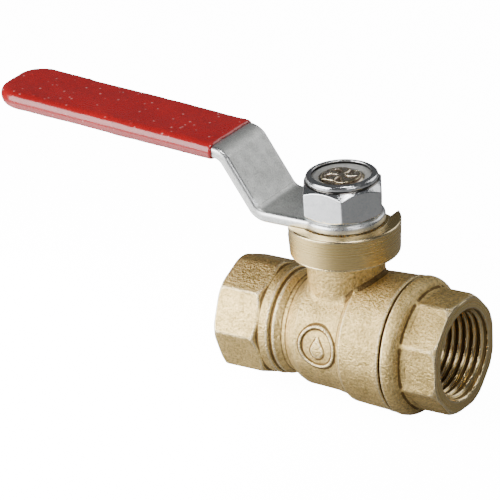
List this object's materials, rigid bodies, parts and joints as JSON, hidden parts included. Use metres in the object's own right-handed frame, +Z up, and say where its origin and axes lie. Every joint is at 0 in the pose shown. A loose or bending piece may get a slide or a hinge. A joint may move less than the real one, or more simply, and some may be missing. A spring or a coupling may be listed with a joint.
{
  "type": "lever ball valve",
  "caption": "Lever ball valve with a female pipe thread at each end, an octagonal body and cap, and a cranked lever with a coated grip.",
  "frame": {"origin": "centre of the ball, where the pipe axis crosses the stem axis", "axes": "+X along the pipe from the inlet to the outlet, +Z up the stem to the lever, so the open lever points to -X and the closed lever to +Y"},
  "size_m": [0.1168, 0.0314, 0.0624],
  "materials": {
    "forged_brass": "blasted",
    "turned_brass": "turned",
    "seal_rubber": "matte",
    "ball_chrome": "polished",
    "white_ptfe": "waxy",
    "zinc_plate": "zinc plated",
    "red_coat": "dipped, glossy",
    "nut_chrome": "bright plated",
    "nylon": "translucent nylon"
  },
  "bodies": {
    "valve_body": {"body": "forged_brass", "end_cap": "forged_brass", "cap_o_ring": "seal_rubber", "inlet_seat": "white_ptfe", "outlet_seat": "white_ptfe", "thrust_washer": "white_ptfe", "lower_packing_ring": "white_ptfe", "upper_packing_ring": "white_ptfe", "gland_ring": "turned_brass"},
    "lever": {"stem": "turned_brass", "lower_stem_o_ring": "seal_rubber", "upper_stem_o_ring": "seal_rubber", "lever_plate": "zinc_plate", "lever_grip": "red_coat", "lock_nut": "nut_chrome", "nut_insert": "nylon"},
    "ball": {"ball": "ball_chrome"}
  },
  "joints": [
    {"name": "lever_turn", "type": "hinge", "parent": "valve_body", "child": "lever", "pos_m": [0, 0, 0.02], "axis": [0, 0, 1], "range_deg": [-90, 0]},
    {"name": "ball_turn", "type": "hinge", "parent": "valve_body", "child": "ball", "pos_m": [0, 0, 0], "axis": [0, 0, 1], "range_deg": [-90, 0]}
  ],
  "couplings": [
    {"joint": "ball_turn", "follows": "lever_turn", "ratio": 1}
  ]
}
